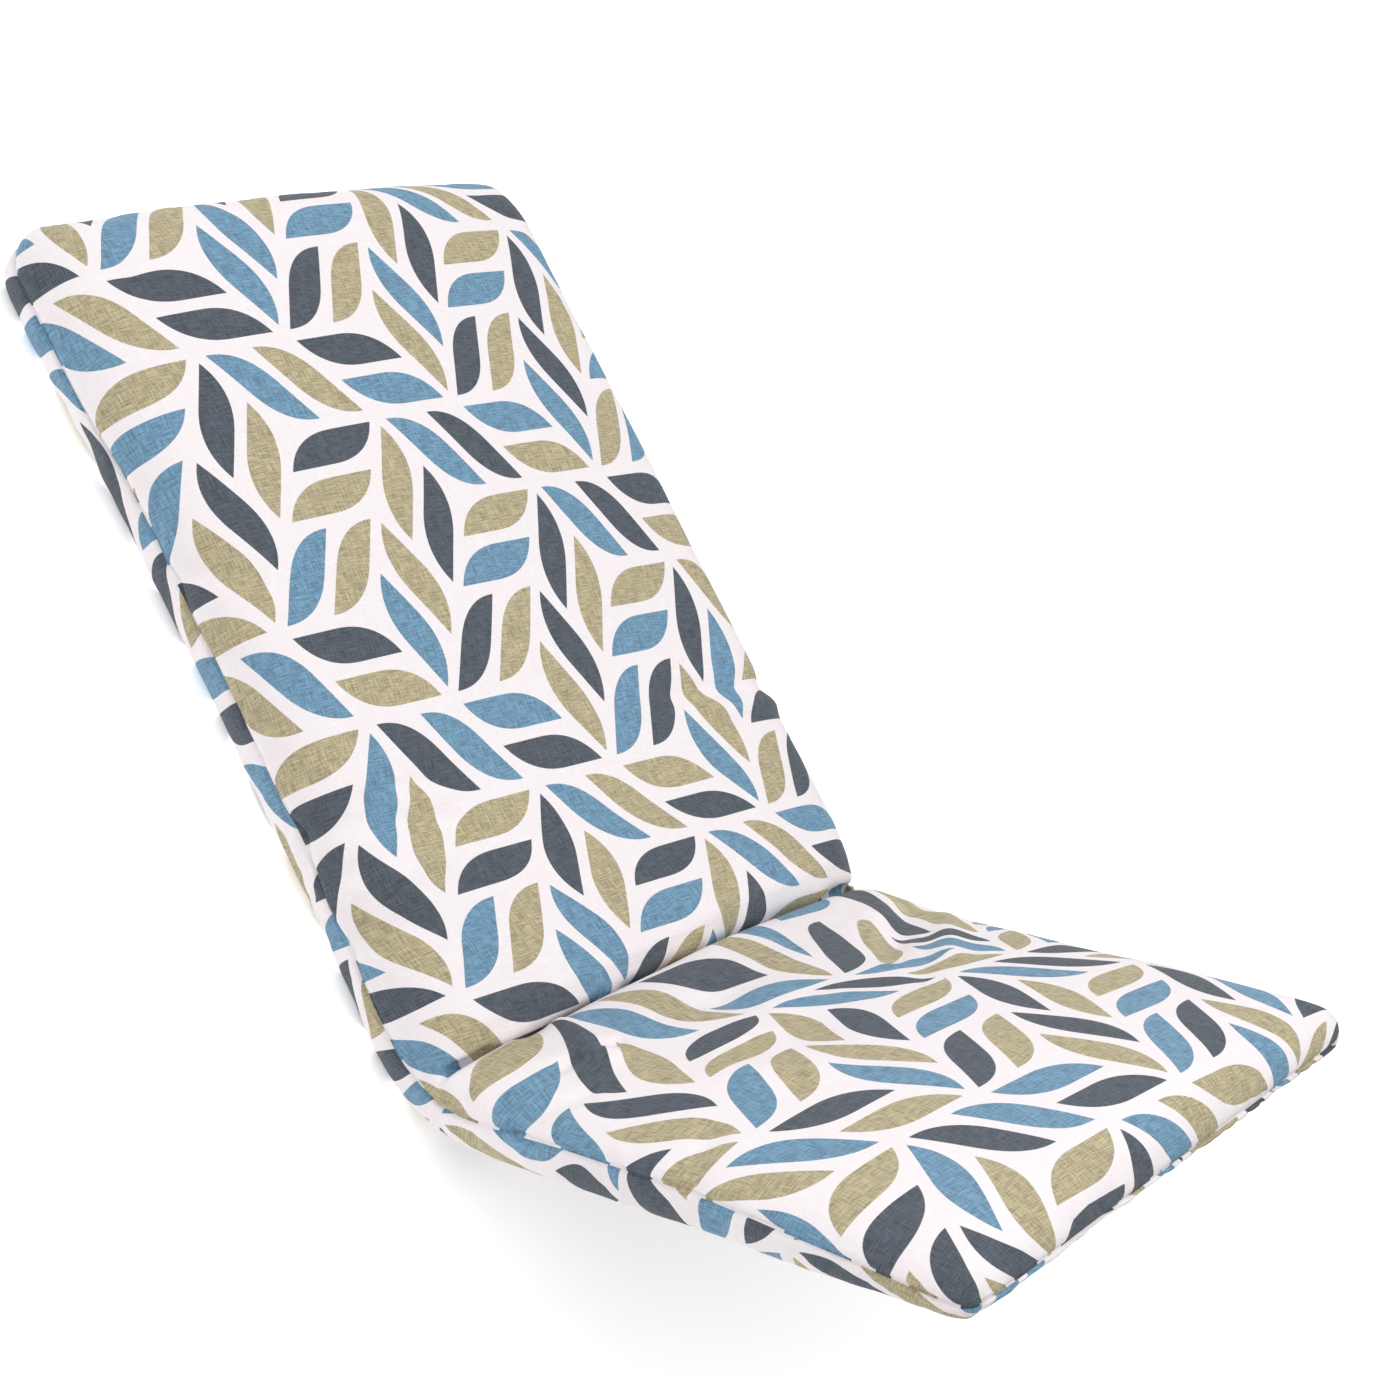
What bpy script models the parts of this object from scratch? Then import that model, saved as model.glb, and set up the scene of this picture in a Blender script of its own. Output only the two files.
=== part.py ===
"""Sun lounger cushion: one filled pad, bent between its back section and its seat section.

The pad lies on its back: the underside of the long back section is flat on z = 0, and the
short seat section rises from the bend. X is the width and Y runs along the back section.
"""
import math

import bmesh
import bpy

# driving dimensions, in metres and degrees
WIDTH = 0.500
BACK_LENGTH = 0.670
SEAT_LENGTH = 0.433
BEND_ANGLE = math.radians(53.5)
BEND_RADIUS = 0.101
FACE_HEIGHT = 0.066
CROWN = 0.012
SEAM_HEIGHT = 0.028
RIM_HALF_HEIGHT = 0.003
FACE_EDGE_ROLL = 0.040
UNDER_EDGE_ROLL = 0.022
SEAM_FRONT_RISE = 0.008
FRONT_RISE = 0.031
FRONT_RISE_POWER = 1.4
TOP_LEFT_CORNER_RADIUS = 0.034
TOP_RIGHT_CORNER_RADIUS = 0.054
FRONT_LEFT_CORNER_RADIUS = 0.014
FRONT_RIGHT_CORNER_RADIUS = 0.022
SIDE_DRAW_IN = 0.004
PRESS_DEPTH = 0.0006
CLOTH_COLOUR = (0.62, 0.62, 0.60, 1.0)
CLOTH_ROUGHNESS = 0.9

# lengths along the underside, from the front rim of the seat to the top rim of the back
BEND_TANGENT = BEND_RADIUS * math.tan(BEND_ANGLE / 2)
SEAT_RUN = SEAT_LENGTH - BEND_TANGENT
BACK_RUN = BACK_LENGTH - BEND_TANGENT
BEND_RUN = BEND_RADIUS * BEND_ANGLE
TOTAL_RUN = SEAT_RUN + BEND_RUN + BACK_RUN
BEND_MIDDLE = SEAT_RUN + BEND_RUN / 2

# distances from the rim at which the cage has a row or a column
EDGE_STEPS = (0.0, 0.004, 0.014, 0.034)
MIDDLE_COLUMNS = 7
SEAT_ROWS = 5
BACK_ROWS = 9

# crease across the face: distance from the middle of the bend, height of the face
# as a share of its full height, and how far the row leans towards the seat
CREASE_ROWS = (
    # offset, share, lean
    (-0.086, 1.00, 0.000),
    (-0.054, 1.01, -0.002),
    (-0.026, 0.92, -0.004),
    (-0.010, 0.74, 0.000),
    (0.005, 0.62, 0.004),
    (0.019, 0.84, 0.014),
    (0.040, 1.04, 0.014),
    (0.068, 1.08, 0.005),
    (0.105, 1.04, 0.000),
)

# soft rises and hollows of the filling: place across and along, spread across and along, height
SWELLS = (
    # across, along, spread_across, spread_along, height
    (0.00, 0.888, 0.30, 0.160, 0.005),
    (0.05, 0.688, 0.30, 0.100, -0.004),
    (-0.05, 0.338, 0.08, 0.035, -0.007),
    (-0.10, 0.273, 0.09, 0.035, 0.005),
    (0.14, 0.313, 0.07, 0.030, -0.005),
    (0.17, 0.248, 0.07, 0.035, 0.004),
    (0.23, 0.278, 0.12, 0.130, -0.012),
)


def rows_along():
    """Places of the cage's rows along the underside."""
    crease = [BEND_MIDDLE + row[0] for row in CREASE_ROWS]
    seat_start = EDGE_STEPS[-1]
    back_end = TOTAL_RUN - EDGE_STEPS[-1]
    seat_step = (crease[0] - seat_start) / (SEAT_ROWS + 1)
    back_step = (back_end - crease[-1]) / (BACK_ROWS + 1)
    rows = list(EDGE_STEPS)
    rows += [seat_start + seat_step * number for number in range(1, SEAT_ROWS + 1)]
    rows += crease
    rows += [crease[-1] + back_step * number for number in range(1, BACK_ROWS + 1)]
    rows += [TOTAL_RUN - step for step in reversed(EDGE_STEPS)]
    return rows


def columns_across():
    """Places of the cage's columns, as distances from the left rim."""
    inner = EDGE_STEPS[-1]
    step = (WIDTH - 2 * inner) / (MIDDLE_COLUMNS + 1)
    columns = list(EDGE_STEPS)
    columns += [inner + step * number for number in range(1, MIDDLE_COLUMNS + 1)]
    columns += [WIDTH - step for step in reversed(EDGE_STEPS)]
    return columns


def corner_inset(distance_to_end, radius):
    """How far a rounded corner draws the side in, this far from the end rim."""
    reach = max(radius - distance_to_end, 0.0)
    return radius - math.sqrt(max(radius * radius - reach * reach, 0.0))


def half_width(along, side):
    """Half of the pad's width at a place along it, on the left (-1) or the right (1)."""
    front_radius = FRONT_LEFT_CORNER_RADIUS if side < 0 else FRONT_RIGHT_CORNER_RADIUS
    top_radius = TOP_LEFT_CORNER_RADIUS if side < 0 else TOP_RIGHT_CORNER_RADIUS
    inset = corner_inset(along, front_radius)
    inset += corner_inset(TOTAL_RUN - along, top_radius)
    inset += SIDE_DRAW_IN * math.sin(math.pi * along / TOTAL_RUN)
    return WIDTH / 2 - inset


def roll(distance, reach):
    """Share of the full height, this far in from the rim: a round roll of the given reach."""
    left = max(1.0 - distance / reach, 0.0)
    return math.sqrt(1.0 - left * left)


def crease_at(along):
    """Height share and lean of the face at a place along the pad, from the crease table."""
    offset = along - BEND_MIDDLE
    if offset <= CREASE_ROWS[0][0]:
        return CREASE_ROWS[0][1], 0.0
    for low, high in zip(CREASE_ROWS, CREASE_ROWS[1:]):
        if offset <= high[0]:
            part = (offset - low[0]) / (high[0] - low[0])
            share = low[1] + part * (high[1] - low[1])
            return share, low[2] + part * (high[2] - low[2])
    past = min((offset - CREASE_ROWS[-1][0]) / BEND_RADIUS, 1.0)
    return CREASE_ROWS[-1][1] + past * (1.0 - CREASE_ROWS[-1][1]), 0.0


def swell_at(across, along):
    """Summed rises and hollows of the filling at a place on the face."""
    total = 0.0
    for place, station, spread_across, spread_along, height in SWELLS:
        square = ((across - place) / spread_across) ** 2
        square += ((along - station) / spread_along) ** 2
        total += height * math.exp(-square)
    return total


def bent(across, along, height):
    """A point of the flat pad, carried to the bent one."""
    if along < SEAT_RUN:
        angle = BEND_ANGLE
        past = SEAT_RUN - along
    elif along > SEAT_RUN + BEND_RUN:
        angle = 0.0
        past = SEAT_RUN + BEND_RUN - along
    else:
        angle = (SEAT_RUN + BEND_RUN - along) / BEND_RADIUS
        past = 0.0
    radius = BEND_RADIUS - height
    forward = -radius * math.sin(angle) - past * math.cos(angle)
    upward = BEND_RADIUS - radius * math.cos(angle) + past * math.sin(angle)
    return across, forward, upward


def front_share(along):
    """From 0 at the bend to 1 at the seat's front rim, where the pad thins from below."""
    return max(1.0 - along / SEAT_RUN, 0.0) ** FRONT_RISE_POWER


def face_point(across, along, rim_distance):
    """A point of the upper, printed face."""
    share, lean = crease_at(along)
    rise = roll(rim_distance, FACE_EDGE_ROLL)
    bulge = CROWN * (1.0 - (2.0 * across / WIDTH) ** 2) + swell_at(across, along)
    full = (FACE_HEIGHT + bulge) * share
    low = SEAM_HEIGHT + SEAM_FRONT_RISE * front_share(along) + RIM_HALF_HEIGHT
    return bent(across, along - lean * rise, low + (full - low) * rise)


def under_point(across, along, rim_distance):
    """A point of the underside: flat under the back, rising under the front of the seat."""
    rise = FRONT_RISE * front_share(along)
    high = SEAM_HEIGHT + SEAM_FRONT_RISE * front_share(along) - RIM_HALF_HEIGHT
    return bent(across, along, high + (rise - high) * roll(rim_distance, UNDER_EDGE_ROLL))


def pad_mesh():
    """The pad's cage: a grid for the underside, extruded into the face and the rim."""
    rows = rows_along()
    columns = columns_across()
    cage = bmesh.new()
    bmesh.ops.create_grid(cage, x_segments=len(columns) - 1, y_segments=len(rows) - 1, size=1.0)
    under = sorted(cage.verts, key=lambda vert: (round(vert.co.y, 4), round(vert.co.x, 4)))
    places = {}
    for number, vert in enumerate(under):
        row, column = divmod(number, len(columns))
        places[vert] = (row, column)
    lifted = bmesh.ops.extrude_face_region(cage, geom=cage.faces[:])["geom"]
    upper = [item for item in lifted if isinstance(item, bmesh.types.BMVert)]
    upper.sort(key=lambda vert: (round(vert.co.y, 4), round(vert.co.x, 4)))
    for low, high in zip(under, upper):
        row, column = places[low]
        along = rows[row]
        flat_across = columns[column] - WIDTH / 2
        side = -1 if flat_across < 0 else 1
        across = flat_across * half_width(along, side) * 2 / WIDTH
        to_side = min(columns[column], WIDTH - columns[column])
        to_end = min(along, TOTAL_RUN - along)
        rim_distance = min(to_side, to_end)
        low.co = under_point(across, along, rim_distance)
        high.co = face_point(across, along, rim_distance)
    bmesh.ops.recalc_face_normals(cage, faces=cage.faces[:])
    mesh = bpy.data.meshes.new("cushion")
    cage.to_mesh(mesh)
    cage.free()
    return mesh


def printed_cotton():
    """Plain colour of the printed cotton, the average of its print."""
    material = bpy.data.materials.new("printed_cotton")
    material.use_nodes = True
    shader = material.node_tree.nodes["Principled BSDF"]
    shader.inputs["Base Color"].default_value = CLOTH_COLOUR
    shader.inputs["Roughness"].default_value = CLOTH_ROUGHNESS
    shader.inputs["Metallic"].default_value = 0.0
    return material


def finished_form(piece):
    """Keep the smoothed shape as the mesh, centred and pressed flat where it lies on the floor."""
    bpy.context.view_layer.update()
    seen = piece.evaluated_get(bpy.context.evaluated_depsgraph_get())
    mesh = bpy.data.meshes.new_from_object(seen)
    piece.modifiers.clear()
    piece.data = mesh
    corners = [vert.co.copy() for vert in mesh.vertices]
    middle_x = (min(c.x for c in corners) + max(c.x for c in corners)) / 2
    middle_y = (min(c.y for c in corners) + max(c.y for c in corners)) / 2
    lowest = min(c.z for c in corners)
    for vert, corner in zip(mesh.vertices, corners):
        height = corner.z - lowest
        if height < PRESS_DEPTH:
            height = 0.0
        vert.co = (corner.x - middle_x, corner.y - middle_y, height)


def build():
    """The whole object: one cushion in a collection of its own."""
    for item in list(bpy.data.objects):
        bpy.data.objects.remove(item, do_unlink=True)
    collection = bpy.data.collections.new("sun_lounger_cushion")
    bpy.context.scene.collection.children.link(collection)
    cushion = bpy.data.objects.new("cushion", pad_mesh())
    collection.objects.link(cushion)
    cushion.data.materials.append(printed_cotton())
    smooth = cushion.modifiers.new("soft form", "SUBSURF")
    smooth.levels = 1
    smooth.render_levels = 1
    finished_form(cushion)
    cushion.data.shade_smooth()


build()
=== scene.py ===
# %% [markdown]
# The looks of a sun lounger cushion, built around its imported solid. The first cell loads the
# solid as a fixed frame, so every size below is in metres and in the part's own frame: X is the
# width, Y runs along the back section, and the pad lies on its back on the floor at z = 0.

# %% Load the frame
import math

import bmesh
import bpy
from mathutils import Matrix, Vector
from mathutils.noise import noise


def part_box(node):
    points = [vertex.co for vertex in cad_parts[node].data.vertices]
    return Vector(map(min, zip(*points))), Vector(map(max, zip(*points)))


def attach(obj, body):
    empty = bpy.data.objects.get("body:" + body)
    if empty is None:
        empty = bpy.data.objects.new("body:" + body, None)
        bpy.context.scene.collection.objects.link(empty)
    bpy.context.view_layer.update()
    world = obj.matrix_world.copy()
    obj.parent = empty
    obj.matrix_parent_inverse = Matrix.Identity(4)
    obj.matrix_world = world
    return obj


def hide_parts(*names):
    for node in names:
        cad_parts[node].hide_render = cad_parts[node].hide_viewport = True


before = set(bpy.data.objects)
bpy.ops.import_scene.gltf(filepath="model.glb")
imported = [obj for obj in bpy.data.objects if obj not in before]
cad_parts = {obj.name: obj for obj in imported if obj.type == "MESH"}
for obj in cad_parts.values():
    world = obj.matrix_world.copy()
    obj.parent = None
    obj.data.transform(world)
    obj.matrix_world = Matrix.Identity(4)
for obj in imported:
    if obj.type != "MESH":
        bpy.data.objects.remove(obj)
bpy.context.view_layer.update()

low, high = (Vector(corner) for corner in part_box("cushion"))
print("solid from", [round(c, 3) for c in low], "to", [round(c, 3) for c in high])

# %% [markdown]
# The camera comes first, so that each step can be looked at as soon as it is made. It stands
# about 40 degrees above the floor and is rolled, because the pad lies on its back here, while
# in use its back section leans and its seat is level. A lens of 66 mm gives weak perspective.

# %% Camera
CAMERA_PLACE = Vector((-1.3443, -0.2317, 1.3336))
CAMERA_AIM = Vector((0.0941, -0.0239, 0.1098))
CAMERA_ROLL = math.radians(57.93)
LENS_MM = 65.98
SENSOR_MM = 36.0


def make_camera():
    data = bpy.data.cameras.new("camera")
    data.lens = LENS_MM
    data.sensor_width = SENSOR_MM
    camera = bpy.data.objects.new("camera", data)
    bpy.context.scene.collection.objects.link(camera)
    look = (CAMERA_AIM - CAMERA_PLACE).to_track_quat("-Z", "Y").to_matrix().to_4x4()
    camera.matrix_world = Matrix.Translation(CAMERA_PLACE) @ look @ Matrix.Rotation(CAMERA_ROLL, 4, "Z")
    bpy.context.scene.camera = camera


make_camera()
print("camera is", round((CAMERA_AIM - CAMERA_PLACE).length, 2), "m from its aim")

# %% [markdown]
# Materials here are node trees, so two helpers come next. One adds a node, sets its properties
# and fills its inputs with plain values or with sockets of earlier nodes. The other turns the
# hex colours that a colour picker shows into the linear numbers that a shader works in.

# %% Helpers for materials


def node(tree, kind, feeds=None, **settings):
    """Add one node: set its properties, and fill its inputs with values or sockets."""
    made = tree.nodes.new(kind)
    for name, value in settings.items():
        setattr(made, name, value)
    for place, feed in (feeds or {}).items():
        if isinstance(feed, bpy.types.NodeSocket):
            tree.links.new(feed, made.inputs[place])
        else:
            made.inputs[place].default_value = feed
    return made


def linear(hex_colour):
    """An sRGB hex colour as linear red, green, blue and alpha."""
    parts = [int(hex_colour[start:start + 2], 16) / 255 for start in (0, 2, 4)]
    steps = [part / 12.92 if part <= 0.04045 else ((part + 0.055) / 1.055) ** 2.4 for part in parts]
    return (*steps, 1.0)


print("white is", linear("FFFFFF"))

# %% [markdown]
# The room is a pale floor under soft light, as in a product studio. Most of it comes from one
# very broad lamp overhead, so the face is bright, the sides are a little darker and the shadows
# are soft. The floor glows faintly, as a lit studio table does, which keeps it white under the
# raised seat. The Standard view transform keeps the cloth's white and its inks as they are mixed.

# %% Floor and light
FLOOR_HALF = 12.0
FLOOR_DROP = 0.0004
FLOOR_GLOW = 0.41
AMBIENT = 0.30
LAMP_PLACE = Vector((-0.2, 0.5, 2.5))
LAMP_AIM = Vector((0.0, 0.0, 0.1))
LAMP_SIZE = 4.0
LAMP_POWER = 86.0


def make_floor():
    shape = bmesh.new()
    bmesh.ops.create_grid(shape, x_segments=1, y_segments=1, size=FLOOR_HALF)
    bmesh.ops.translate(shape, verts=shape.verts[:], vec=(0, 0, -FLOOR_DROP))
    mesh = bpy.data.meshes.new("floor")
    shape.to_mesh(mesh)
    shape.free()
    paint = bpy.data.materials.new("matt_white_paint")
    paint.use_nodes = True
    shader = paint.node_tree.nodes["Principled BSDF"]
    shader.inputs["Base Color"].default_value = linear("FAFAFB")
    shader.inputs["Roughness"].default_value = 0.9
    shader.inputs["Emission Color"].default_value = linear("FFFFFF")
    shader.inputs["Emission Strength"].default_value = FLOOR_GLOW
    mesh.materials.append(paint)
    floor = bpy.data.objects.new("floor", mesh)
    bpy.context.scene.collection.objects.link(floor)


def make_light():
    world = bpy.data.worlds.new("studio")
    world.use_nodes = True
    sky = world.node_tree.nodes["Background"]
    sky.inputs["Color"].default_value = linear("FFFFFF")
    sky.inputs["Strength"].default_value = AMBIENT
    bpy.context.scene.world = world
    data = bpy.data.lights.new("lamp", "AREA")
    data.size = LAMP_SIZE
    data.energy = LAMP_POWER
    lamp = bpy.data.objects.new("lamp", data)
    lamp.location = LAMP_PLACE
    lamp.rotation_euler = (LAMP_AIM - LAMP_PLACE).to_track_quat("-Z", "Y").to_euler()
    bpy.context.scene.collection.objects.link(lamp)
    bpy.context.scene.view_settings.view_transform = "Standard"


make_floor()
make_light()
print("floor and light are in place")

# %% [markdown]
# The pad is a cover of two printed panels over a soft filling. It could be sculpted by hand, but
# a pad is a flat thing that was bent, so it is easier to describe flat: each point has a place
# across the pad, a place along it and a height over its underside, and one function carries that
# to the bent pad. The underside is the outer side of the bend: a round arc between two straight
# runs.

# %% Sizes of the flat pad and its bend
WIDTH = 0.497
BACK_LENGTH = 0.672
SEAT_LENGTH = 0.436
BEND_ANGLE = math.radians(53.5)
BEND_RADIUS = 0.101
BEND_TANGENT = BEND_RADIUS * math.tan(BEND_ANGLE / 2)
SEAT_RUN = SEAT_LENGTH - BEND_TANGENT
BACK_START = SEAT_RUN + BEND_RADIUS * BEND_ANGLE
BACK_RUN = BACK_LENGTH - BEND_TANGENT
TOTAL_RUN = BACK_START + BACK_RUN
BEND_MIDDLE = (SEAT_RUN + BACK_START) / 2
TOP_SPARE = 0.002
CENTRE_SHIFT = high.y + TOP_SPARE - BACK_RUN


def bent(across, along, height):
    """A point of the flat pad, carried to the bent one."""
    if along < SEAT_RUN:
        angle = BEND_ANGLE
        past = SEAT_RUN - along
    elif along > BACK_START:
        angle = 0.0
        past = BACK_START - along
    else:
        angle = (BACK_START - along) / BEND_RADIUS
        past = 0.0
    radius = BEND_RADIUS - height
    forward = -radius * math.sin(angle) - past * math.cos(angle)
    upward = BEND_RADIUS - radius * math.cos(angle) + past * math.sin(angle)
    return Vector((across, forward + CENTRE_SHIFT, upward))


print("the flat pad is", round(TOTAL_RUN, 3), "m long along its underside")

# %% [markdown]
# The crease is where the face folds in on itself at the bend. Its section is a short table, read
# as a smooth curve: how high the face stands and how far it leans towards the seat, at each
# distance from the middle of the bend. The lower end of the back leans out over the seat, which
# closes the crease to a dark line. The filling's rises and hollows are soft round swells.

# %% Section of the crease, and the swells
CREASE = (
    # offset, share, lean
    (-0.150, 1.00, 0.000),
    (-0.100, 1.00, 0.006),
    (-0.051, 0.98, 0.012),
    (-0.035, 0.95, 0.011),
    (-0.024, 0.87, -0.002),
    (-0.014, 0.75, -0.005),
    (-0.005, 0.64, -0.003),
    (0.003, 0.55, 0.000),
    (0.010, 0.64, 0.007),
    (0.019, 0.75, 0.018),
    (0.028, 0.87, 0.023),
    (0.040, 0.98, 0.009),
    (0.056, 1.03, -0.003),
    (0.079, 1.05, -0.003),
    (0.107, 1.03, -0.003),
    (0.180, 1.00, 0.000),
)
SWELLS = (
    # across, along, spread_across, spread_along, height
    (0.00, 0.888, 0.30, 0.160, 0.005),
    (0.05, 0.688, 0.30, 0.100, -0.004),
    (-0.05, 0.338, 0.08, 0.035, -0.007),
    (-0.10, 0.273, 0.09, 0.035, 0.005),
    (0.14, 0.313, 0.07, 0.030, -0.005),
    (0.17, 0.248, 0.07, 0.035, 0.004),
    (0.23, 0.278, 0.12, 0.130, -0.012),
)


def smooth_between(rows, place, column):
    """One column of a table, read at a place as a smooth curve through its rows."""
    if place <= rows[0][0]:
        return rows[0][column]
    if place >= rows[-1][0]:
        return rows[-1][column]
    number = max(index for index in range(len(rows) - 1) if rows[index][0] <= place)
    before, start = rows[max(number - 1, 0)], rows[number]
    end, after = rows[number + 1], rows[min(number + 2, len(rows) - 1)]
    gap = end[0] - start[0]
    part = (place - start[0]) / gap
    slope_in = (end[column] - before[column]) / (end[0] - before[0]) * gap
    slope_out = (after[column] - start[column]) / (after[0] - start[0]) * gap
    rise = end[column] - start[column]
    bow = slope_in - rise + part * (2 * rise - slope_in - slope_out)
    return start[column] + part * (rise + (1 - part) * bow)


def swell_at(across, along):
    """Summed rises and hollows of the filling at a place on the face."""
    total = 0.0
    for place, station, spread_across, spread_along, height in SWELLS:
        square = ((across - place) / spread_across) ** 2 + ((along - station) / spread_along) ** 2
        total += height * math.exp(-square)
    return total


print("the crease reaches", round(min(row[1] for row in CREASE) * 100), "% of the face's height")

# %% [markdown]
# The outline of the flat pad is a long rectangle with rounded corners and sides that draw in a
# little between them. The face and the underside both roll down to one seam all round, and the
# roll is a quarter of an oval, so the face keeps its height until close to the seam. Towards the
# front of the seat the pad thins from below, and a table gives the seam's height on the way.

# %% Outline and the two panels
FACE_HEIGHT = 0.066
CROWN = 0.012
SEAM_HALF = 0.0005
SEAM_PULL = 0.0010
FACE_EDGE_ROLL = 0.040
UNDER_EDGE_ROLL = 0.014
SECTION = (
    # along, height of the seam, height of the underside
    (0.00, 0.042, 0.031),
    (0.10, 0.046, 0.023),
    (0.20, 0.048, 0.018),
    (0.30, 0.043, 0.012),
    (0.38, 0.036, 0.008),
    (0.44, 0.032, 0.003),
    (0.50, 0.030, 0.000),
)
TOP_LEFT_RADIUS = 0.034
TOP_RIGHT_RADIUS = 0.060
FRONT_LEFT_RADIUS = 0.014
FRONT_RIGHT_RADIUS = 0.024
SIDE_DRAW_IN = 0.004
RIGHT_DRAW_IN = (
    # along, reach, depth
    (0.16, 0.26, 0.005),
    (0.88, 0.20, 0.009),
)
CREASE_FADE = 0.034


def corner_inset(distance_to_end, radius):
    """How far a rounded corner draws the side in, this far from the end of the pad."""
    reach = max(radius - distance_to_end, 0.0)
    return radius - math.sqrt(max(radius * radius - reach * reach, 0.0))


def half_width(along, side):
    """Half of the pad's width at a place along it, on the left (-1) or the right (1)."""
    front_radius = FRONT_LEFT_RADIUS if side < 0 else FRONT_RIGHT_RADIUS
    top_radius = TOP_LEFT_RADIUS if side < 0 else TOP_RIGHT_RADIUS
    inset = corner_inset(along, front_radius) + corner_inset(TOTAL_RUN - along, top_radius)
    inset += SIDE_DRAW_IN * math.sin(math.pi * along / TOTAL_RUN)
    for place, reach, depth in RIGHT_DRAW_IN if side > 0 else ():
        inset += depth * math.exp(-((along - place) / reach) ** 2)
    return WIDTH / 2 - inset


def roll(distance, reach):
    """Share of the full height, this far in from the seam: a round roll of the given reach."""
    left = max(1.0 - distance / reach, 0.0)
    return math.sqrt(1.0 - left * left)


def crease_fade(across):
    """How much of the crease there is: all of it, but for the left end, where it runs out."""
    part = min((across + WIDTH / 2) / CREASE_FADE, 1.0)
    return 0.35 + 0.65 * part * part * (3 - 2 * part)


def face_point(across, along, seam_distance):
    """A point of the printed face panel."""
    offset = along - BEND_MIDDLE
    rise = roll(seam_distance, FACE_EDGE_ROLL)
    fade = crease_fade(across)
    lean = smooth_between(CREASE, offset, 2) * rise * fade
    bulge = CROWN * (1.0 - (2.0 * across / WIDTH) ** 2) + swell_at(across, along)
    full = (FACE_HEIGHT + bulge) * (1.0 + fade * (smooth_between(CREASE, offset, 1) - 1.0))
    edge = smooth_between(SECTION, along, 1) + SEAM_HALF
    return bent(across, along - lean, edge + (full - edge) * rise)


def under_point(across, along, seam_distance):
    """A point of the underside panel: flat under the back, rising under the front of the seat."""
    edge, bottom = (smooth_between(SECTION, along, column) for column in (1, 2))
    edge -= SEAM_HALF
    return bent(across, along, edge + (bottom - edge) * roll(seam_distance, UNDER_EDGE_ROLL))


print("the pad is", round((FACE_HEIGHT + CROWN) * 1000), "mm thick at its crown")

# %% [markdown]
# The mesh starts as one flat grid for the underside, which is extruded into the face, so the two
# panels share their grid and meet in the seam. Rows stand closer in the rolled edges, at equal
# turns of the roll, and in the crease, where the cloth turns most. Cloth wants cells of this
# size: much larger ones cannot pucker, and much smaller ones make the simulation slow.

# %% Grid of the pad
ROLL_STEPS = 8
FIRST_TURN = math.radians(3.5)
WIDE_STEP = 0.0078
FINE_STEP = 0.0056
CREASE_REACH = 0.095


def between(start, stop, step):
    """Places between two ends, both left out, at about the given step."""
    count = max(round((stop - start) / step), 1)
    return [start + (stop - start) * number / count for number in range(1, count)]


def edge_steps():
    """Distances from the seam: one close beside it, then equal turns of the face's roll."""
    turn_step = (math.pi / 2 - FIRST_TURN) / ROLL_STEPS
    turns = [0.0] + [FIRST_TURN + turn_step * number for number in range(ROLL_STEPS + 1)]
    return [FACE_EDGE_ROLL * (1.0 - math.cos(turn)) for turn in turns]


def rows_along():
    start, end = BEND_MIDDLE - CREASE_REACH, BEND_MIDDLE + CREASE_REACH
    rows = edge_steps() + between(FACE_EDGE_ROLL, start, WIDE_STEP)
    rows += [start] + between(start, end, FINE_STEP) + [end]
    rows += between(end, TOTAL_RUN - FACE_EDGE_ROLL, WIDE_STEP)
    return rows + [TOTAL_RUN - step for step in reversed(edge_steps())]


def columns_across():
    columns = edge_steps() + between(FACE_EDGE_ROLL, WIDTH - FACE_EDGE_ROLL, WIDE_STEP)
    return columns + [WIDTH - step for step in reversed(edge_steps())]


ROWS = rows_along()
COLUMNS = columns_across()
print(len(ROWS), "rows by", len(COLUMNS), "columns on each panel")

# %% [markdown]
# The print follows the cloth, so each corner of the mesh gets its place on the flat cloth, in
# metres, in a UV map. The map counts the length of the cloth itself, over the rolled edges and
# down into the crease, from the middle of the crease. A cover never lies quite straight on its
# pad, so a table gives how the cloth lies along the pad. The underside is cut from another place.

# %% Places on the cloth
LEAF_EDGE = 0.084
CREASE_BOTTOM = BEND_MIDDLE + 0.003
CLOTH_STRETCH = 1.035
LIE = (
    # length past the crease, place across and along the cloth, slant
    (-0.600, 0.275, -0.070, 0.000),
    (-0.350, 0.270, 0.185, -0.040),
    (-0.150, 0.285, 0.385, -0.080),
    (-0.050, 0.265, 0.500, -0.090),
    (0.050, 0.255, 0.590, -0.085),
    (0.120, 0.280, 0.625, -0.180),
    (0.200, 0.260, 0.740, -0.100),
    (0.300, 0.250, 0.850, -0.100),
    (0.400, 0.265, 0.950, -0.080),
)
UNDER_CLOTH = (0.190, 0.113)


def chain_lengths(points, start):
    """Lengths along a chain of points, counted from the point of this number."""
    lengths = [0.0]
    for before, after in zip(points, points[1:]):
        lengths.append(lengths[-1] + (after - before).length)
    return [length - lengths[start] for length in lengths]


def seam_distance(along, column):
    return min(column, WIDTH - column, along, TOTAL_RUN - along)


def cloth_lengths(panel_point):
    """Cloth length across the panel for each column, and along it for each row."""
    station = BACK_START + BACK_RUN / 2
    chain = [panel_point(column - WIDTH / 2, station, seam_distance(station, column)) for column in COLUMNS]
    across = chain_lengths(chain, len(COLUMNS) // 2)
    chain = [panel_point(0.0, row, seam_distance(row, WIDTH / 2)) for row in ROWS]
    bottom = min(range(len(ROWS)), key=lambda number: abs(ROWS[number] - CREASE_BOTTOM))
    return across, chain_lengths(chain, bottom)


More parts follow.
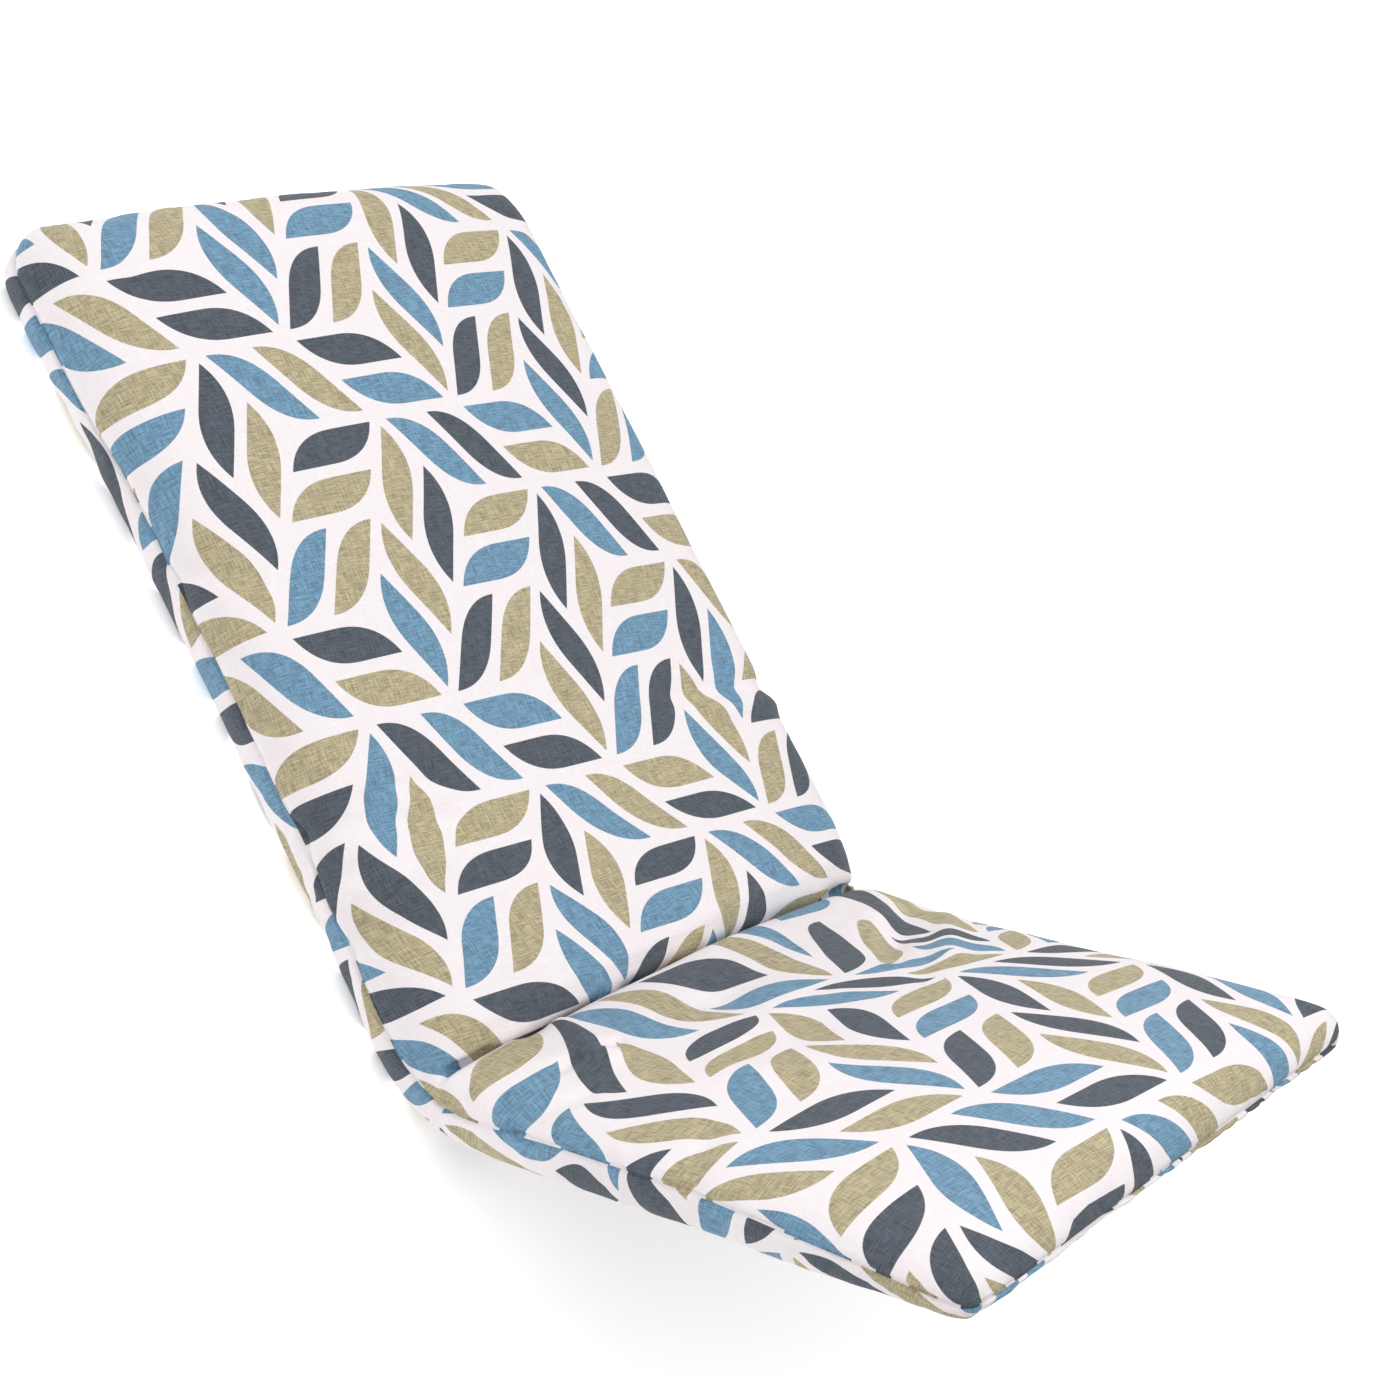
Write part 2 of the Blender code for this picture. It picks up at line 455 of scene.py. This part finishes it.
def on_cloth(across, along):
    """The place on the printed cloth of a point of a panel, given as lengths of cloth."""
    past = -along
    start, height, slant = (smooth_between(LIE, past, column) for column in (1, 2, 3))
    beyond = past - min(max(past, LIE[0][0]), LIE[-1][0])
    return start + CLOTH_STRETCH * across, height + beyond + slant * across


print("the cloth's place in the crease is", [round(place, 3) for place in on_cloth(0.0, 0.0)])

# %% [markdown]
# Now the grid itself. Its vertices are read row by row, and each is put on the underside, with
# its partner straight above it on the face. The seam's two loops are pulled in a little, as a
# stitched seam is. Three attributes keep each vertex's place on the flat pad, for later steps.

# %% Make the pad's mesh
FLAT_PLACE = ("flat_column", "flat_along", "on_face")
ORDER_STEP = 100000


def by_place(vert):
    return round(vert.co.y, 5), round(vert.co.x, 5)


def make_pad():
    shape = bmesh.new()
    bmesh.ops.create_grid(shape, x_segments=len(COLUMNS) - 1, y_segments=len(ROWS) - 1, size=1.0)
    flat_places = [shape.verts.layers.float.new(name) for name in FLAT_PLACE]
    under = sorted(shape.verts, key=by_place)
    lifted = bmesh.ops.extrude_face_region(shape, geom=shape.faces[:])["geom"]
    face = sorted((item for item in lifted if isinstance(item, bmesh.types.BMVert)), key=by_place)
    face_across, face_along = cloth_lengths(face_point)
    under_across, under_along = cloth_lengths(under_point)
    places = {}
    for number, (below, above) in enumerate(zip(under, face)):
        row, column = divmod(number, len(COLUMNS))
        along = ROWS[row]
        flat = COLUMNS[column] - WIDTH / 2
        distance = seam_distance(along, COLUMNS[column])
        pull = SEAM_PULL if distance == 0.0 else 0.0
        across = flat * (half_width(along, -1 if flat < 0 else 1) - pull) * 2 / WIDTH
        pulled = min(max(along, pull), TOTAL_RUN - pull)
        below.co = under_point(across, pulled, distance)
        above.co = face_point(across, pulled, distance)
        for vert, on_face in ((below, 0.0), (above, 1.0)):
            for layer, value in zip(flat_places, (COLUMNS[column], along, on_face)):
                vert[layer] = value
        places[above] = on_cloth(face_across[column], face_along[row])
        turned = on_cloth(-under_across[column], under_along[row])
        places[below] = (turned[0] + UNDER_CLOTH[0], turned[1] + UNDER_CLOTH[1])
    lay_cloth(shape, places, set(face))
    bmesh.ops.recalc_face_normals(shape, faces=shape.faces[:])
    if shape.calc_volume(signed=True) < 0:
        bmesh.ops.reverse_faces(shape, faces=shape.faces[:])
    put_in_order(shape, flat_places)
    mesh = bpy.data.meshes.new("printed_pad")
    shape.to_mesh(mesh)
    shape.free()
    return mesh


def put_in_order(shape, flat_places):
    """Sort the mesh by place. Blender's own order can change, and the simulation with it."""

    def vert_order(vert):
        column, along, on_face = (vert[layer] for layer in flat_places)
        return column + ORDER_STEP * (along + 10 * on_face)

    def corner_order(part):
        numbers = [vert.index for vert in part.verts]
        return ORDER_STEP * min(numbers) + max(numbers)

    shape.verts.sort(key=vert_order)
    shape.verts.index_update()
    shape.edges.sort(key=corner_order)
    shape.faces.sort(key=corner_order)


def lay_cloth(shape, places, face):
    """Write the cloth places to the UV map. The seam's own faces take the face panel's places."""
    cloth = shape.loops.layers.uv.new("cloth")
    partner = {}
    for edge in shape.edges:
        first, second = edge.verts
        if (first in face) != (second in face):
            partner[first], partner[second] = second, first
    for polygon in shape.faces:
        count = sum(vert in face for vert in polygon.verts)
        for corner in polygon.loops:
            owner = corner.vert
            if 0 < count < len(polygon.verts) and owner not in face:
                owner = partner[owner]
            corner[cloth].uv = places[owner]


pad = bpy.data.objects.new("printed_pad", make_pad())
bpy.context.scene.collection.objects.link(pad)
print("pad has", len(pad.data.polygons), "faces before it is filled")

# %% [markdown]
# A filled cover is stretched cloth, and Blender's cloth simulation finds how it lies: the filling
# is a pressure from inside, gravity is off because the filling carries the cover, and the cloth
# is a little larger than its pattern, so it puckers where it has nowhere to go. No point moves
# further than a set reach, less in the crease, whose two sides press on each other, and the part
# that lies on the floor stays where it is.

# %% Fill the pad
PRESSURE = 0.5
CLOTH_SPARE = 0.020
CLOTH_STIFFNESS = 40
AIR_DAMPING = 10
FRAMES = 20
MOVE_REACH = 0.005
CREASE_HOLD = 0.85
CREASE_WIDTH = 0.045
FLOOR_TOUCH = 0.0006


def read_places(mesh):
    """The flat place of every vertex: its column, its place along and 1 for the face panel."""
    columns = [[item.value for item in mesh.attributes[name].data] for name in FLAT_PLACE]
    return list(zip(*columns))


def filled_places(piece):
    """Where the simulation carries every vertex."""
    low_group = piece.vertex_groups.new(name="lies on the floor")
    lying = [vert.index for vert in piece.data.vertices if vert.co.z < FLOOR_TOUCH]
    low_group.add(lying, 1.0, "REPLACE")
    cloth = piece.modifiers.new("filling", "CLOTH")
    cloth.settings.quality = 5
    cloth.settings.mass = 0.3
    cloth.settings.tension_stiffness = CLOTH_STIFFNESS
    cloth.settings.compression_stiffness = CLOTH_STIFFNESS
    cloth.settings.shear_stiffness = CLOTH_STIFFNESS / 3
    cloth.settings.bending_stiffness = 0.1
    cloth.settings.air_damping = AIR_DAMPING
    cloth.settings.use_pressure = True
    cloth.settings.uniform_pressure_force = PRESSURE
    cloth.settings.shrink_min = -CLOTH_SPARE
    cloth.settings.vertex_group_mass = low_group.name
    cloth.settings.effector_weights.gravity = 0
    for number in range(1, FRAMES + 1):
        bpy.context.scene.frame_set(number)
    seen = piece.evaluated_get(bpy.context.evaluated_depsgraph_get())
    places = [vert.co.copy() for vert in seen.data.vertices]
    piece.modifiers.clear()
    piece.vertex_groups.clear()
    bpy.context.scene.frame_set(1)
    return places


def fill_pad(piece):
    largest = 0.0
    mesh = piece.data
    for vert, place, flat in zip(mesh.vertices, filled_places(piece), read_places(mesh)):
        move = place - vert.co
        hold = 1.0 - CREASE_HOLD * math.exp(-((flat[1] - BEND_MIDDLE) / CREASE_WIDTH) ** 2)
        move *= hold * MOVE_REACH / (MOVE_REACH + move.length)
        vert.co += move
        vert.co.z = max(vert.co.z, 0.0)
        largest = max(largest, move.length)
    return largest


print("filling moved the cloth up to", round(fill_pad(pad) * 1000, 1), "mm")

# %% [markdown]
# One subdivision rounds the cells. It is applied, because the folds and the gathers beside the
# seam come after it: they are narrower than the simulated cells.

# %% Round the cells


def round_cells(piece):
    smooth = piece.modifiers.new("rounded", "SUBSURF")
    smooth.levels = 1
    smooth.render_levels = 1
    bpy.context.view_layer.update()
    mesh = bpy.data.meshes.new_from_object(piece.evaluated_get(bpy.context.evaluated_depsgraph_get()))
    piece.modifiers.clear()
    piece.data = mesh
    mesh.shade_smooth()


round_cells(pad)
print("pad has", 2 * len(pad.data.polygons), "triangles")

# %% [markdown]
# A used pad has folds of its own, where the cover was pulled or the filling has shifted. They
# could be simulated, but never in these places, so each is listed: a soft ridge or trough
# from one place on the flat pad to another, with its width and its height. Beside the seam the
# cover is gathered into short creases, a thumb's width apart, where a noise crosses zero.

# %% Folds and gathers
FOLDS = (
    # start across and along, end across and along, width, height
    (-0.226, 0.446, -0.205, 0.449, 0.009, -0.0060),
    (0.250, 0.430, 0.205, 0.436, 0.012, -0.0100),
    (-0.240, 0.418, -0.190, 0.412, 0.012, 0.0040),
    (-0.156, 0.393, -0.178, 0.325, 0.010, 0.0060),
    (-0.200, 0.352, -0.160, 0.340, 0.008, -0.0040),
    (0.205, 0.348, 0.080, 0.276, 0.013, -0.0060),
    (0.212, 0.312, 0.120, 0.250, 0.013, 0.0045),
    (0.150, 0.290, 0.060, 0.235, 0.012, -0.0025),
    (-0.062, 0.325, -0.062, 0.240, 0.020, -0.0040),
    (-0.145, 0.235, -0.120, 0.215, 0.026, 0.0040),
    (-0.248, 0.336, -0.215, 0.310, 0.007, -0.0030),
    (-0.250, 0.200, -0.205, 0.215, 0.009, -0.0025),
    (0.248, 0.627, 0.110, 0.643, 0.009, -0.0040),
    (0.240, 0.611, 0.150, 0.621, 0.009, 0.0030),
    (-0.215, 0.645, -0.145, 0.641, 0.007, -0.0025),
    (-0.250, 0.640, -0.150, 0.611, 0.009, -0.0040),
    (-0.240, 0.590, -0.180, 0.585, 0.010, 0.0025),
    (-0.252, 0.560, -0.210, 0.552, 0.010, -0.0030),
    (-0.252, 0.835, -0.205, 0.800, 0.010, -0.0030),
)
SEAM_GROOVE = 0.0022
GROOVE_REACH = 0.0020
GATHER_SPACING = 0.020
GATHER_DEPTH = 0.0024
GATHER_REACH = 0.020
GATHER_SHARPNESS = 2.5
LUMP_SIZE = 0.090
LUMP_HEIGHT = 0.0012


def fold_at(across, along):
    """Summed height of the folds at a place on the face."""
    total = 0.0
    for start_across, start_along, end_across, end_along, width, height in FOLDS:
        run_across, run_along = end_across - start_across, end_along - start_along
        off_across, off_along = across - start_across, along - start_along
        square = run_across ** 2 + run_along ** 2
        part = min(max((off_across * run_across + off_along * run_along) / square, 0.0), 1.0)
        far = math.hypot(off_across - part * run_across, off_along - part * run_along)
        if far < 3 * width:
            total += height * math.exp(-(far / width) ** 2)
    return total


def cloth_distance(distance):
    """Length of cloth from the seam to a place this far in from it: the arc of the rolled edge."""
    inner = min(max(distance, 0.0), FACE_EDGE_ROLL)
    return FACE_EDGE_ROLL * math.acos(1.0 - inner / FACE_EDGE_ROLL)


def gather_at(place, distance):
    """Height of the gathers, at a place along a seam and a length of cloth from it."""
    value = noise(Vector((place / GATHER_SPACING, distance / LUMP_SIZE, 0.37)))
    crease = max(1.0 - GATHER_SHARPNESS * abs(value), 0.0)
    fade = math.exp(-(distance / GATHER_REACH) ** 2) - math.exp(-(2.5 * distance / GATHER_REACH) ** 2)
    return (0.3 - crease) * GATHER_DEPTH * fade


def fold_cloth(piece):
    mesh = piece.data
    normals = [vert.normal.copy() for vert in mesh.vertices]
    for vert, normal, flat in zip(mesh.vertices, normals, read_places(mesh)):
        column, along, on_face = flat
        if vert.co.z < FLOOR_TOUCH:
            continue
        to_side = cloth_distance(min(column, WIDTH - column))
        to_end = cloth_distance(min(along, TOTAL_RUN - along))
        height = gather_at(along, to_side) + gather_at(column + TOTAL_RUN, to_end)
        height += LUMP_HEIGHT * noise(Vector((column / LUMP_SIZE, along / LUMP_SIZE, on_face)))
        height += fold_at(column - WIDTH / 2, along) * on_face
        height -= SEAM_GROOVE * math.exp(-(min(to_side, to_end) / GROOVE_REACH) ** 2)
        vert.co += normal * height
        vert.co.z = max(vert.co.z, 0.0)
    for name in FLAT_PLACE:
        mesh.attributes.remove(mesh.attributes[name])


fold_cloth(pad)
print("set", len(FOLDS), "folds by hand")

# %% [markdown]
# The cloth is cotton with a slubby linen weave, screen printed with leaves in three inks. The
# leaves fill a lattice of rhombuses, two to each, so no leaf has to be drawn: the shader finds
# which rhombus a point of cloth lies in, then which of its two leaves, and how far along and
# across that leaf it is. A table of eight kinds of piece, read along one row of the lattice,
# gives those two numbers as sums of the place in the row and the height in the row.

# %% Lattice of the leaves
ROW_HEIGHT = LEAF_EDGE * math.sqrt(3) / 2
ROW_SLIDE = 1.5
ROW_PERIOD = 6.0
LEAVES_IN_ROW = 12
PIECES = (
    # starts_at, slant, along the leaf and across both leaves (place, height, one), first leaf
    (0, 0, (-1, 0, 1), (0, 2, 0), 0),
    (1, 0, (-1, 1, 1), (2, 0, -2), 2),
    (1, 1, (0, 1, 0), (2, -2, -2), 4),
    (2, 1, (1, -1, -2), (0, 2, 0), 6),
    (3, 1, (1, 0, -3), (-2, 2, 8), 8),
    (4, 0, (0, -1, 1), (2, 0, -8), 10),
    (5, 0, (1, 0, -5), (-2, 2, 10), 8 + LEAVES_IN_ROW),
    (5, 1, (-1, 1, 6), (2, 0, -10), 2 - LEAVES_IN_ROW),
)
INKS = {"O": "B5AA8A", "B": "7197B2", "D": "555C65"}
CHART = (
    "OBDOBODBBODO",
    "DOODBDBODBOB",
    "OBDOBDDODOBO",
    "OBDBOBDOOBDO",
    "ODBODBBDDOBD",
    "ODDOBOODOBOD",
    "DBODBOBDDOBO",
    "OBDOBODDBBDO",
)
print(len(CHART), "rows of", len(CHART[0]), "leaves before the print repeats")

# %% Find the leaf


def find_leaf(tree, cloth):
    """Sockets for the way along a leaf, the way across it (each 0 to 1) and the leaf's number."""
    scaled = node(tree, "ShaderNodeVectorMath", {0: cloth, 1: (1 / LEAF_EDGE, 1 / ROW_HEIGHT, 0)},
                  operation="MULTIPLY")
    split = node(tree, "ShaderNodeSeparateXYZ", {0: scaled.outputs[0]})
    row = node(tree, "ShaderNodeMath", {0: split.outputs["Y"]}, operation="FLOOR").outputs[0]
    height = node(tree, "ShaderNodeMath", {0: split.outputs["Y"]}, operation="FRACT").outputs[0]
    slid = node(tree, "ShaderNodeMath", {0: row, 1: -ROW_SLIDE, 2: split.outputs["X"]},
                operation="MULTIPLY_ADD")
    leaning = node(tree, "ShaderNodeMath", {0: height, 1: 0.5, 2: slid.outputs[0]}, operation="MULTIPLY_ADD")
    place = node(tree, "ShaderNodeMath", {0: leaning.outputs[0], 1: ROW_PERIOD},
                 operation="FLOORED_MODULO").outputs[0]
    here = node(tree, "ShaderNodeCombineXYZ", {0: place, 1: height, 2: 1.0}).outputs[0]
    found = None
    for starts_at, slant, along_terms, across_terms, first in PIECES:
        along = node(tree, "ShaderNodeVectorMath", {0: here, 1: along_terms}, operation="DOT_PRODUCT")
        across = node(tree, "ShaderNodeVectorMath", {0: here, 1: across_terms}, operation="DOT_PRODUCT")
        piece = node(tree, "ShaderNodeCombineXYZ",
                     {0: along.outputs["Value"], 1: across.outputs["Value"], 2: float(first)}).outputs[0]
        if found is None:
            found = piece
            continue
        edge = node(tree, "ShaderNodeMath", {0: height, 1: slant, 2: starts_at}, operation="MULTIPLY_ADD")
        past = node(tree, "ShaderNodeMath", {0: place, 1: edge.outputs[0]}, operation="GREATER_THAN")
        found = node(tree, "ShaderNodeMix", {0: past.outputs[0], 4: found, 5: piece},
                     data_type="VECTOR").outputs[1]
    leaf = node(tree, "ShaderNodeSeparateXYZ", {0: found})
    across = node(tree, "ShaderNodeMath", {0: leaf.outputs["Y"]}, operation="FRACT").outputs[0]
    second = node(tree, "ShaderNodeMath", {0: leaf.outputs["Y"]}, operation="FLOOR").outputs[0]
    in_row = node(tree, "ShaderNodeMath", {0: second, 1: leaf.outputs["Z"]}, operation="ADD").outputs[0]
    number = node(tree, "ShaderNodeMath", {0: row, 1: float(LEAVES_IN_ROW), 2: in_row},
                  operation="MULTIPLY_ADD").outputs[0]
    return leaf.outputs["X"], across, number


# %% [markdown]
# Each leaf starts at one corner of its half rhombus and ends at the opposite corner. One side is
# straight and the other is a full, blunt arc for the first half of the leaf, and the two change
# places for the second half, which gives the leaf its slight twist. The arc is a superellipse,
# fuller than a circle. The gap of about 9 mm between leaves is plain cloth, and the ink's edge is
# half a millimetre soft, as a screen leaves it.

# %% Draw the leaf
GAP = 0.009
GAP_ALONG = GAP / 2 / (LEAF_EDGE * math.sqrt(3) / 2)
GAP_ACROSS = 2 * GAP_ALONG
FULLNESS = 2.6
INK_SOFTNESS = 0.015


def draw_leaf(tree, along, across):
    """A mask that is 1 inside the leaf and 0 on the plain cloth."""
    along = node(tree, "ShaderNodeMapRange", {0: along, 1: GAP_ALONG, 2: 1 - GAP_ALONG}, clamp=False).outputs[0]
    across = node(tree, "ShaderNodeMapRange", {0: across, 1: GAP_ACROSS, 2: 1 - GAP_ACROSS},
                  clamp=False).outputs[0]
    from_middle = node(tree, "ShaderNodeMath", {0: along, 1: 2.0, 2: -1.0}, operation="MULTIPLY_ADD")
    middle_distance = node(tree, "ShaderNodeMath", {0: from_middle.outputs[0]}, operation="ABSOLUTE")
    other_side = node(tree, "ShaderNodeMath", {0: 1.0, 1: across}, operation="SUBTRACT")
    second_half = node(tree, "ShaderNodeMath", {0: along, 1: 0.5}, operation="GREATER_THAN")
    side = node(tree, "ShaderNodeMix", {0: second_half.outputs[0], 2: across, 3: other_side.outputs[0]})
    first = node(tree, "ShaderNodeMath", {0: middle_distance.outputs[0], 1: FULLNESS}, operation="POWER")
    second = node(tree, "ShaderNodeMath", {0: side.outputs[0], 1: FULLNESS}, operation="POWER")
    both = node(tree, "ShaderNodeMath", {0: first.outputs[0], 1: second.outputs[0]}, operation="ADD")
    radius = node(tree, "ShaderNodeMath", {0: both.outputs[0], 1: 1 / FULLNESS}, operation="POWER")
    inside_arc = node(tree, "ShaderNodeMath", {0: 1.0, 1: radius.outputs[0]}, operation="SUBTRACT")
    inside = node(tree, "ShaderNodeMath", {0: inside_arc.outputs[0], 1: side.outputs[0]}, operation="MINIMUM")
    return node(tree, "ShaderNodeMapRange", {0: inside.outputs[0], 1: 0.0, 2: INK_SOFTNESS}).outputs[0]


# %% [markdown]
# Which ink a leaf has comes from a small chart, eight rows of twelve letters. A
# colour ramp with constant steps can hold one row, so there are eight ramps, and the leaf's
# number picks the ramp and the step.

# %% Ink of the leaf


def leaf_ink(tree, number):
    total = float(LEAVES_IN_ROW * len(CHART))
    wrapped = node(tree, "ShaderNodeMath", {0: number, 1: total}, operation="FLOORED_MODULO")
    middle = node(tree, "ShaderNodeMath", {0: wrapped.outputs[0], 1: 0.5}, operation="ADD")
    rows = node(tree, "ShaderNodeMath", {0: middle.outputs[0], 1: float(LEAVES_IN_ROW)}, operation="DIVIDE")
    step = node(tree, "ShaderNodeMath", {0: rows.outputs[0]}, operation="FRACT")
    ink = None
    for row, letters in enumerate(CHART):
        ramp = node(tree, "ShaderNodeValToRGB", {0: step.outputs[0]})
        ramp.color_ramp.interpolation = "CONSTANT"
        stops = ramp.color_ramp.elements
        while len(stops) < len(letters):
            stops.new(1.0)
        for column, letter in enumerate(letters):
            stops[column].position = column / LEAVES_IN_ROW
            stops[column].color = linear(INKS[letter])
        if ink is None:
            ink = ramp.outputs[0]
            continue
        past = node(tree, "ShaderNodeMath", {0: rows.outputs[0], 1: float(row)}, operation="GREATER_THAN")
        ink = node(tree, "ShaderNodeMix", {0: past.outputs[0], 6: ink, 7: ramp.outputs[0]},
                   data_type="RGBA").outputs[2]
    return ink


# %% [markdown]
# The weave has thick and thin yarns both ways. A noise texture stretched along the yarn gives
# each direction its slubs: they darken the ink, which sinks into them, and lift the surface. The
# yarns themselves are 0.5 mm apart, too fine for the picture, so they are drawn 1 mm apart.

# %% Printed cotton
YARN = 0.0008
SLUB_LENGTH = 0.013
GROUND = "FBF4F6"
GROUND_SLUB = "F8F0F2"
SLUB_DEPTH = 0.30
BUMP_DEPTH = 0.00015


def slubs(tree, cloth, stretch, detail):
    scaled = node(tree, "ShaderNodeVectorMath", {0: cloth, 1: stretch}, operation="MULTIPLY")
    return node(tree, "ShaderNodeTexNoise", {"Vector": scaled.outputs[0], "Scale": 1.0, "Detail": detail,
                                             "Roughness": 0.6}, noise_dimensions="2D").outputs["Fac"]


def printed_cotton():
    material = bpy.data.materials.new("printed_cotton")
    material.use_nodes = True
    tree = material.node_tree
    shader = tree.nodes["Principled BSDF"]
    cloth = node(tree, "ShaderNodeUVMap", uv_map="cloth").outputs["UV"]
    along, across, number = find_leaf(tree, cloth)
    leaf = draw_leaf(tree, along, across)
    ink = leaf_ink(tree, number)
    weft = slubs(tree, cloth, (1 / SLUB_LENGTH, 1 / YARN, 0), 2.0)
    warp = slubs(tree, cloth, (1 / YARN, 1 / SLUB_LENGTH, 0), 2.0)
    yarns = node(tree, "ShaderNodeMath", {0: weft, 1: warp}, operation="ADD").outputs[0]
    slub = node(tree, "ShaderNodeMapRange", {0: yarns, 1: 0.84, 2: 1.20}).outputs[0]
    ground = node(tree, "ShaderNodeMix", {0: slub, 6: linear(GROUND), 7: linear(GROUND_SLUB)},
                  data_type="RGBA").outputs[2]
    shade = node(tree, "ShaderNodeMapRange", {0: slub, 3: 1 + SLUB_DEPTH, 4: 1 - SLUB_DEPTH}).outputs[0]
    worn = node(tree, "ShaderNodeVectorMath", {0: ink, 1: shade}, operation="MULTIPLY").outputs[0]
    colour = node(tree, "ShaderNodeMix", {0: leaf, 6: ground, 7: worn}, data_type="RGBA").outputs[2]
    bump = node(tree, "ShaderNodeBump", {"Height": slub, "Strength": 1.0, "Distance": BUMP_DEPTH})
    tree.links.new(colour, shader.inputs["Base Color"])
    tree.links.new(bump.outputs[0], shader.inputs["Normal"])
    shader.inputs["Roughness"].default_value = 0.88
    shader.inputs["Specular IOR Level"].default_value = 0.25
    shader.inputs["Sheen Weight"].default_value = 0.12
    shader.inputs["Sheen Roughness"].default_value = 0.5
    return material


pad.data.materials.clear()
pad.data.materials.append(printed_cotton())
print("printed cotton has", len(pad.data.materials[0].node_tree.nodes), "nodes")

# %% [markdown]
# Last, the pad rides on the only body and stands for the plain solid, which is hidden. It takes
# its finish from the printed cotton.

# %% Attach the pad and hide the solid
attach(pad, "root")
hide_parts("cushion")
